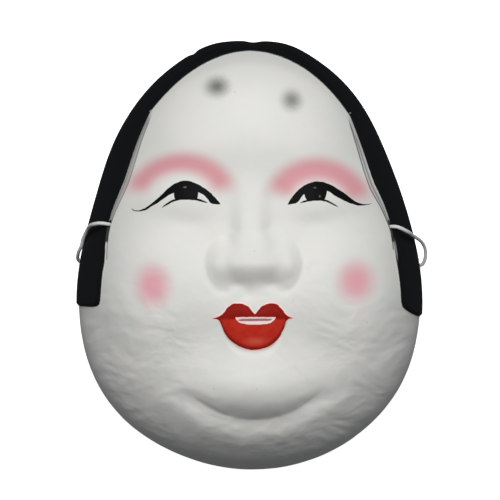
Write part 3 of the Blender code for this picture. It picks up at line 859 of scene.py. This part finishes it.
def smooth_route(route, step):
    """Points about a step apart on the smooth curve through a route."""
    route = [Vector(place) for place in route]
    route = [2.0 * route[0] - route[1]] + route + [2.0 * route[-1] - route[-2]]
    points = []
    for p0, p1, p2, p3 in zip(route, route[1:], route[2:], route[3:]):
        count = max(1, round((p2 - p1).length / step))
        points += [between(p0, p1, p2, p3, i / count) for i in range(count)]
    return points + [route[-2]]


# The braid: carriers that run each way round, sides of the tube, the length of one full turn, the relief,
# and how far apart the rings lie along the cord and along a knot.
CARRIERS = 6
BRAID_SIDES = 24
BRAID_TURN = 0.0072
BRAID_RELIEF = 0.00007
CORD_STEP = 0.00026
KNOT_STEP = 0.00030


def braided_tube(name, centres, material):
    """A round braid along a line of centres, with closed ends."""
    rings = len(centres)
    bm = bmesh.new()
    weave = bm.loops.layers.uv.new("UVMap")
    bmesh.ops.create_grid(bm, x_segments=BRAID_SIDES, y_segments=rings - 1, size=1.0, calc_uvs=True)
    length = sum((b - a).length for a, b in zip(centres, centres[1:]))
    for face in bm.faces:
        for loop in face.loops:
            loop[weave].uv.y *= length / (math.pi * CORD_DIAMETER)
    frames = carried_frames(centres)
    run = 0.0
    travelled = [0.0]
    for a, b in zip(centres, centres[1:]):
        run += (b - a).length
        travelled.append(run)
    for vertex in bm.verts:
        ring = round((vertex.co.y + 1.0) / 2.0 * (rings - 1))
        angle = (vertex.co.x + 1.0) * math.pi
        side, up = frames[ring]
        twist = travelled[ring] / BRAID_TURN * 2.0 * math.pi
        crossing = math.cos(CARRIERS * angle) * math.cos(CARRIERS * twist)
        radius = CORD_DIAMETER / 2.0 + BRAID_RELIEF * crossing - BRAID_RELIEF / 2.0
        vertex.co = centres[ring] + (side * math.cos(angle) + up * math.sin(angle)) * radius
    bmesh.ops.remove_doubles(bm, verts=bm.verts, dist=0.000001)
    bmesh.ops.holes_fill(bm, edges=[edge for edge in bm.edges if edge.is_boundary], sides=0)
    bmesh.ops.recalc_face_normals(bm, faces=bm.faces)
    return add_object(name, bm, material)


def carried_frames(centres):
    """Two directions square to the line at each centre, carried along it without twisting."""
    runs = [(b - a).normalized() for a, b in zip(centres, centres[1:])]
    runs = [runs[0]] + [(a + b).normalized() for a, b in zip(runs, runs[1:])] + [runs[-1]]
    side = runs[0].orthogonal().normalized()
    frames = []
    for run in runs:
        side = (side - run * side.dot(run)).normalized()
        frames.append((side, run.cross(side)))
    return frames


def tied_knot(name, place, material):
    """A tight overhand knot behind the wall: a pass through, a wrap and a half back, and the cut tail."""
    middle, outward = hole_frame(place)
    inward = -outward
    start = middle + inward * (WALL + 0.0002)
    side = inward.orthogonal().normalized()
    up = inward.cross(side)
    wrap_radius = 0.93 * CORD_DIAMETER
    wraps = 1.6
    steps = 26
    route = [start, start + inward * 0.0014, start + inward * 0.0034]
    for i in range(steps + 1):
        t = i / steps
        angle = 2.0 * math.pi * wraps * t
        depth = 0.0046 - 0.0032 * t
        radius = wrap_radius * smooth_step(0.0, 0.22, t + 0.05)
        around = side * math.cos(angle) + up * math.sin(angle)
        route.append(start + inward * depth + around * float(radius))
    last = route[-1]
    out = (last - start - inward * (last - start).dot(inward)).normalized()
    route += [last + inward * 0.0022 + out * 0.0008, last + inward * 0.0052 + out * 0.0006,
              last + inward * 0.0086 + out * 0.0001]
    return braided_tube(name, smooth_route(route, KNOT_STEP), material)


def build_camera():
    """Straight above the mask, as the photograph looks at it."""
    camera = bpy.data.cameras.new("camera")
    view = bpy.data.objects.new("camera", camera)
    bpy.context.scene.collection.objects.link(view)
    distance = 1.3
    frame_width = 0.2803
    view.location = (0.0003, 0.0027, distance)
    camera.lens = camera.sensor_width * distance / frame_width
    bpy.context.scene.camera = view


def build_light():
    """One large soft lamp above the crown and a faint glow from both sides, so that the jaw falls dark."""
    lamp = bpy.data.lights.new("key", "AREA")
    lamp.shape = "DISK"
    lamp.size = 0.6
    lamp.energy = 21.0
    key = bpy.data.objects.new("key", lamp)
    key.location = (0.0, 0.68, 1.46)
    aim = Vector((0.0, 0.0, 0.03))
    key.rotation_euler = (aim - key.location).to_track_quat("-Z", "Y").to_euler()
    bpy.context.scene.collection.objects.link(key)
    world = bpy.data.worlds.new("studio")
    world.use_nodes = True
    tree = world.node_tree
    tree.nodes["Background"].inputs["Color"].default_value = (0.92, 0.96, 1.0, 1.0)
    sideways = add(tree, "SeparateXYZ", {0: add(tree, "TexCoord", {})}).outputs["X"]
    away = add(tree, "Math", {0: sideways}, operation="ABSOLUTE")
    glow = add(tree, "MapRange", {"Value": away, "From Min": 0.60, "From Max": 1.0, "To Min": 0.09,
                                  "To Max": 0.42}, interpolation_type="SMOOTHSTEP")
    tree.links.new(glow.outputs[0], tree.nodes["Background"].inputs["Strength"])
    bpy.context.scene.world = world
    bpy.context.scene.view_settings.view_transform = "Standard"


def build_floor():
    """A plain white table top, bright enough to swallow the shadows, which throws no light back up."""
    bm = bmesh.new()
    bmesh.ops.create_grid(bm, x_segments=1, y_segments=1, size=2.0)
    material, _, _ = new_material("pale_floor", Base_Color=linear("FAFAFA"), Roughness=0.9,
                                  Emission_Color=linear("FFFFFF"), Emission_Strength=0.9)
    floor = add_object("floor", bm, material)
    floor.visible_diffuse = False
    floor.visible_glossy = False


build_camera()
build_light()
build_floor()

elastic = braided_elastic()
cord_centres = smooth_route(CORD_ROUTE, CORD_STEP)
cord = braided_tube("braided_cord", cord_centres, elastic)
knots = [tied_knot("tied_knot_left", HOLE_LEFT, elastic), tied_knot("tied_knot_right", HOLE_RIGHT, elastic)]
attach(cord, "root")
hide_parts("elastic_cord")
for knot, node in zip(knots, ("cord_knot_left", "cord_knot_right")):
    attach(knot, "root")
    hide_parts(node)

mask = build_mask(painted_paper(), bare_lining())
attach(mask, "root")
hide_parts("mask")
